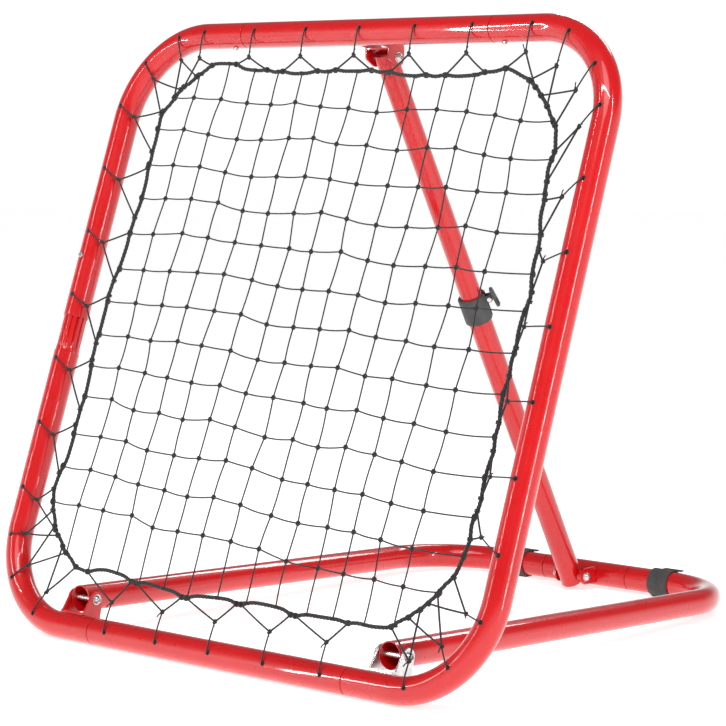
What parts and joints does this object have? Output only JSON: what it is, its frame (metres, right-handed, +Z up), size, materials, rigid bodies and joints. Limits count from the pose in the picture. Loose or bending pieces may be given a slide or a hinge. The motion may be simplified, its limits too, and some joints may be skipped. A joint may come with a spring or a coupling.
{
  "type": "pitch back rebounder",
  "caption": "Leaning square steel tube frame with a laced net, a U-shaped ground frame and a telescopic rear strut with a clamp collar that sets the lean.",
  "frame": {"origin": "middle of the footprint, on the ground", "axes": "+X to the right of a player facing the net, -Y from the net towards the player, +Z up"},
  "size_m": [0.8397, 0.7882, 0.7914],
  "materials": {
    "red_powder_coat": "gloss powder coat",
    "zinc_plate": "bright zinc plate",
    "black_rubber": "matt",
    "black_plastic": "fine grain",
    "black_cord": "twisted synthetic cord"
  },
  "bodies": {
    "ground_frame": {"ground_left_tube": "red_powder_coat", "ground_right_tube": "red_powder_coat", "ground_rear_tube": "red_powder_coat", "foot_left": "black_rubber", "foot_right": "black_rubber", "rear_bracket": "red_powder_coat", "rear_pivot_bolt": "zinc_plate", "rear_pivot_nut": "zinc_plate", "rear_sleeve": "red_powder_coat"},
    "main_frame": {"top_tube": "red_powder_coat", "bottom_tube": "red_powder_coat", "upper_left_tube": "red_powder_coat", "lower_left_tube": "red_powder_coat", "right_side_tube": "red_powder_coat", "top_left_screw": "zinc_plate", "top_right_screw": "zinc_plate", "left_button": "zinc_plate", "net_mesh": "black_cord", "border_lacing": "black_cord", "left_bracket": "red_powder_coat", "left_pivot_bolt": "zinc_plate", "left_pivot_nut": "zinc_plate", "right_bracket": "zinc_plate", "right_pivot_bolt": "zinc_plate", "right_pivot_nut": "zinc_plate", "top_bracket": "red_powder_coat", "top_pivot_bolt": "zinc_plate", "top_pivot_nut": "zinc_plate"},
    "strut_lower": {"strut_lower_tube": "red_powder_coat", "clamp_collar": "black_plastic", "clamp_pin": "zinc_plate"},
    "strut_upper": {"strut_upper_tube": "red_powder_coat"},
    "clamp_lever": {"clamp_lever": "black_plastic"}
  },
  "joints": [
    {"name": "frame_recline", "type": "hinge", "parent": "ground_frame", "child": "main_frame", "pos_m": [0, -0.34761, 0.051], "axis": [-1, 0, 0], "range_deg": [0, 25]},
    {"name": "strut_swing", "type": "hinge", "parent": "ground_frame", "child": "strut_lower", "pos_m": [0, 0.33539, 0.021], "axis": [-1, 0, 0], "range_deg": [0, 15]},
    {"name": "strut_slide", "type": "slide", "parent": "strut_lower", "child": "strut_upper", "axis": [0, 0.4818, -0.8763], "range_m": [0, 0.272]},
    {"name": "lever_open", "type": "hinge", "parent": "strut_lower", "child": "clamp_lever", "pos_m": [0.02035, 0.12549, 0.42712], "axis": [0.5, -0.7589, -0.4173], "range_deg": [0, 40]}
  ],
  "couplings": [
    {"joint": "strut_swing", "follows": "frame_recline", "ratio": 0.5929},
    {"joint": "strut_slide", "follows": "frame_recline", "m_per_rad": 0.617}
  ]
}
